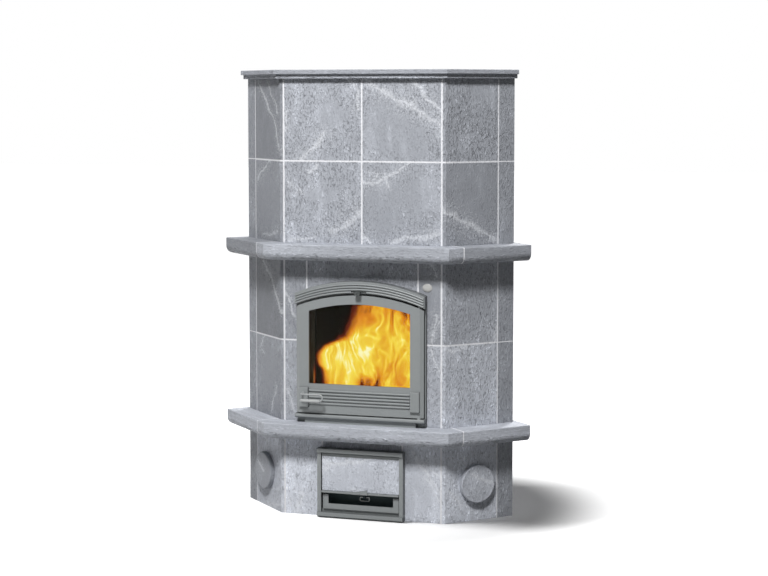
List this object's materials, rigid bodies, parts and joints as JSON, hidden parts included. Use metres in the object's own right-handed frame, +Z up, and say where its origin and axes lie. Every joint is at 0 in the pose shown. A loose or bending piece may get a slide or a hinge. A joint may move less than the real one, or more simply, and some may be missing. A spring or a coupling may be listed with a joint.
{
  "type": "masonry heater",
  "caption": "Corner masonry heater in soapstone with hearth and mantel shelves, arched glass fire door, ash door with drawer and round soot doors.",
  "frame": {"origin": "on the floor, at the middle of the outer box", "axes": "+Z up, -Y out of the front, +X to the right of someone who faces the front"},
  "size_m": [1.1928, 0.659, 1.65],
  "materials": {
    "soapstone": "honed",
    "core_stone": "sawn",
    "mortar": "matt",
    "insulation": "matt",
    "grey_casting": "satin paint",
    "raw_casting": "matt",
    "plain_steel": "satin",
    "bright_steel": "satin",
    "dark_steel": "satin paint",
    "door_glass": "clear",
    "rope": "braided"
  },
  "bodies": {
    "heater": {"ash_chamber": "core_stone", "ash_frame": "grey_casting", "base_corner_left": "soapstone", "base_corner_right": "soapstone", "base_front_left": "soapstone", "base_front_right": "soapstone", "base_lintel": "soapstone", "blank_plate": "plain_steel", "core_ceiling": "core_stone", "core_walls": "core_stone", "corner_lower_left": "soapstone", "corner_lower_right": "soapstone", "corner_upper_left": "soapstone", "corner_upper_right": "soapstone", "crown_slab": "soapstone", "door_frame": "grey_casting", "door_lintel": "soapstone", "firebox_floor": "core_stone", "firebox_liners": "core_stone", "flue_collar": "raw_casting", "flue_slab": "soapstone", "grate": "raw_casting", "hearth_front": "soapstone", "hearth_left": "soapstone", "hearth_right": "soapstone", "hinge_pins": "plain_steel", "insulation_board": "insulation", "jamb_lower_left": "soapstone", "jamb_lower_right": "soapstone", "jamb_upper_left": "soapstone", "jamb_upper_right": "soapstone", "mantel_front": "soapstone", "mantel_left": "soapstone", "mantel_right": "soapstone", "mortar_joints": "mortar", "rear_slabs": "soapstone", "throat_slabs": "core_stone", "tile_lower_left": "soapstone", "tile_lower_right": "soapstone", "tile_upper_left": "soapstone", "tile_upper_right": "soapstone", "top_corner_lower_left": "soapstone", "top_corner_lower_right": "soapstone", "top_corner_upper_left": "soapstone", "top_corner_upper_right": "soapstone", "wall_slabs": "soapstone"},
    "fire_door": {"door_leaf": "grey_casting", "door_glass": "door_glass", "glass_clips": "plain_steel", "door_rope": "rope"},
    "handle": {"door_handle": "bright_steel", "handle_grip": "bright_steel", "latch_bar": "plain_steel"},
    "air_slide_body": {"air_slide": "plain_steel"},
    "flap": {"ash_flap": "grey_casting", "flap_stone": "soapstone"},
    "drawer": {"ash_drawer": "dark_steel"},
    "bail": {"drawer_bail": "bright_steel"},
    "left_plug": {"soot_plug_left": "soapstone"},
    "right_plug": {"soot_plug_right": "soapstone"}
  },
  "joints": [
    {"name": "door_hinge", "type": "hinge", "parent": "heater", "child": "fire_door", "pos_m": [0.226, -0.2735, 0.6], "axis": [0, 0, 1], "range_deg": [0, 110]},
    {"name": "handle_lift", "type": "hinge", "parent": "fire_door", "child": "handle", "pos_m": [-0.213, -0.3045, 0.464], "axis": [0, -1, 0], "range_deg": [0, 45]},
    {"name": "air_slide_travel", "type": "slide", "parent": "heater", "child": "air_slide_body", "axis": [1, 0, 0], "range_m": [-0.018, 0.018]},
    {"name": "flap_hinge", "type": "hinge", "parent": "heater", "child": "flap", "pos_m": [0, -0.2595, 0.236], "axis": [-1, 0, 0], "range_deg": [0, 80]},
    {"name": "drawer_slide", "type": "slide", "parent": "heater", "child": "drawer", "axis": [0, -1, 0], "range_m": [0, 0.28]},
    {"name": "bail_swing", "type": "hinge", "parent": "drawer", "child": "bail", "pos_m": [0, -0.2125, 0.071], "axis": [-1, 0, 0], "range_deg": [0, 85]},
    {"name": "left_plug_pull", "type": "slide", "parent": "heater", "child": "left_plug", "axis": [-0.7071, -0.7071, 0], "range_m": [0, 0.12]},
    {"name": "right_plug_pull", "type": "slide", "parent": "heater", "child": "right_plug", "axis": [0.7071, -0.7071, 0], "range_m": [0, 0.12]}
  ]
}
